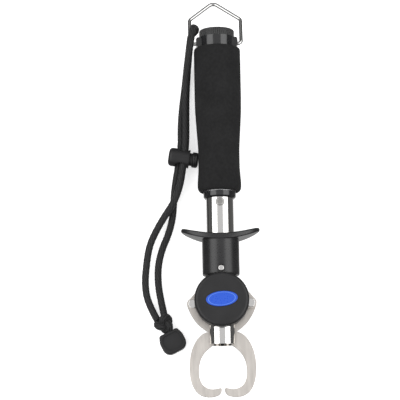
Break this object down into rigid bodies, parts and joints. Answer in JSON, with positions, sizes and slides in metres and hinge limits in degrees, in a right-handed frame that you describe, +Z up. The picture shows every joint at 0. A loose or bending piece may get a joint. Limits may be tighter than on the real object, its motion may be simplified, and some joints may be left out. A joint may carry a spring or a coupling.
{
  "type": "lip grip",
  "caption": "Fishing lip gripper with a foam handle, spring scale tube, finger trigger, hooked steel jaws, wire bail and corded lanyard with a lock.",
  "frame": {"origin": "middle of the underside of the gripper without its lanyard, as it lies on its back", "axes": "+X across the gripper, +Y along it towards the bail, jaws at -Y, +Z up from the table"},
  "size_m": [0.0825, 0.2832, 0.0334],
  "materials": {
    "foam_black": "matt closed-cell foam",
    "black_plastic": "satin moulded plastic",
    "gloss_black": "glossy moulded plastic",
    "polished_steel": "polished stainless steel",
    "satin_steel": "tumbled stainless plate",
    "wire_steel": "bright stainless wire",
    "handle_alloy": "drawn aluminium tube",
    "hardware": "bright screws, rivets and pins",
    "spring_steel": "spring wire",
    "blue_badge": "glossy blue oval",
    "cord_black": "braided cord"
  },
  "bodies": {
    "handle": {"handle_tube": "handle_alloy", "foam_grip": "foam_black", "lower_collar": "black_plastic", "end_collar": "gloss_black", "collar_screws": "hardware", "rod_guide": "handle_alloy", "lanyard_strand_upper": "cord_black", "lanyard_strand_lower": "cord_black", "lock_body": "black_plastic", "lock_spring": "spring_steel", "lanyard_knot": "cord_black", "cord_end": "black_plastic"},
    "bail": {"wire_bail": "wire_steel", "lanyard_hitch": "cord_black"},
    "zero_knob": {"zero_knob": "black_plastic", "knob_clip": "hardware"},
    "scale_rod": {"scale_rod": "satin_steel", "rod_nut": "hardware", "rod_washer": "hardware", "scale_spring": "spring_steel"},
    "spring_seat": {"spring_seat": "handle_alloy", "seat_clip": "hardware"},
    "barrel": {"scale_tube": "polished_steel", "tube_plug": "handle_alloy", "plug_screws": "hardware", "spring_stop": "handle_alloy", "stop_screw": "hardware", "pivot_blocks": "handle_alloy", "jaw_pins": "hardware", "guard_front": "black_plastic", "guard_rear": "black_plastic", "badge": "blue_badge", "cover_screws": "hardware", "trigger_spring": "spring_steel"},
    "trigger": {"trigger_sleeve": "black_plastic", "slider": "handle_alloy", "trigger_pin": "hardware"},
    "right_jaw": {"right_jaw": "satin_steel", "right_rivet": "hardware"},
    "left_jaw": {"left_jaw": "satin_steel", "left_rivet": "hardware"},
    "right_link": {"right_link": "satin_steel"},
    "left_link": {"left_link": "satin_steel"},
    "lock_button": {"lock_button": "black_plastic"}
  },
  "joints": [
    {"name": "bail_swing", "type": "hinge", "parent": "handle", "child": "bail", "pos_m": [0, 0.10701, 0.0165], "axis": [1, 0, 0], "range_deg": [-96, 146], "deforming": ["lanyard_hitch", "lanyard_strand_upper", "lanyard_strand_lower"]},
    {"name": "zero_slide", "type": "slide", "parent": "handle", "child": "scale_rod", "axis": [0, 1, 0], "range_m": [-0.0015, 0.0005]},
    {"name": "zero_knob_turn", "type": "hinge", "parent": "handle", "child": "zero_knob", "pos_m": [0, 0.11111, 0.0165], "axis": [0, 1, 0], "range_deg": [-225, 675]},
    {"name": "weigh_slide", "type": "slide", "parent": "scale_rod", "child": "spring_seat", "axis": [0, -1, 0], "range_m": [0, 0.025], "stiffness_N_per_m": 5886, "springref_m": -0.002, "deforming": ["scale_spring"]},
    {"name": "swivel", "type": "hinge", "parent": "spring_seat", "child": "barrel", "pos_m": [0, 0.05291, 0.0165], "axis": [0, 1, 0], "continuous": true},
    {"name": "trigger_slide", "type": "slide", "parent": "barrel", "child": "trigger", "axis": [0, 1, 0], "range_m": [0, 0.0098], "stiffness_N_per_m": 600, "springref_m": -0.012, "deforming": ["trigger_spring"]},
    {"name": "right_jaw_turn", "type": "hinge", "parent": "barrel", "child": "right_jaw", "pos_m": [0.0043, -0.08989, 0.0165], "axis": [0, 0, 1], "range_deg": [0, 24.01]},
    {"name": "left_jaw_turn", "type": "hinge", "parent": "barrel", "child": "left_jaw", "pos_m": [-0.0043, -0.08989, 0.0165], "axis": [0, 0, 1], "range_deg": [-24.01, 0]},
    {"name": "right_link_turn", "type": "hinge", "parent": "right_jaw", "child": "right_link", "pos_m": [0.0199, -0.07759, 0.01965], "axis": [0, 0, 1], "range_deg": [-38.12, 0]},
    {"name": "left_link_turn", "type": "hinge", "parent": "left_jaw", "child": "left_link", "pos_m": [-0.0199, -0.07759, 0.01335], "axis": [0, 0, 1], "range_deg": [0, 38.12]},
    {"name": "lock_button_press", "type": "slide", "parent": "handle", "child": "lock_button", "axis": [-0.9863, 0.165, 0], "range_m": [0, 0.0019], "stiffness_N_per_m": 400, "springref_m": -0.003, "deforming": ["lock_spring"]}
  ],
  "couplings": [
    {"joint": "zero_knob_turn", "follows": "zero_slide", "rad_per_m": -7854},
    {"joint": "right_jaw_turn", "follows": "trigger_slide", "rad_per_m": 42.76},
    {"joint": "left_jaw_turn", "follows": "trigger_slide", "rad_per_m": -42.76},
    {"joint": "right_link_turn", "follows": "trigger_slide", "rad_per_m": -67.89},
    {"joint": "left_link_turn", "follows": "trigger_slide", "rad_per_m": 67.89}
  ]
}
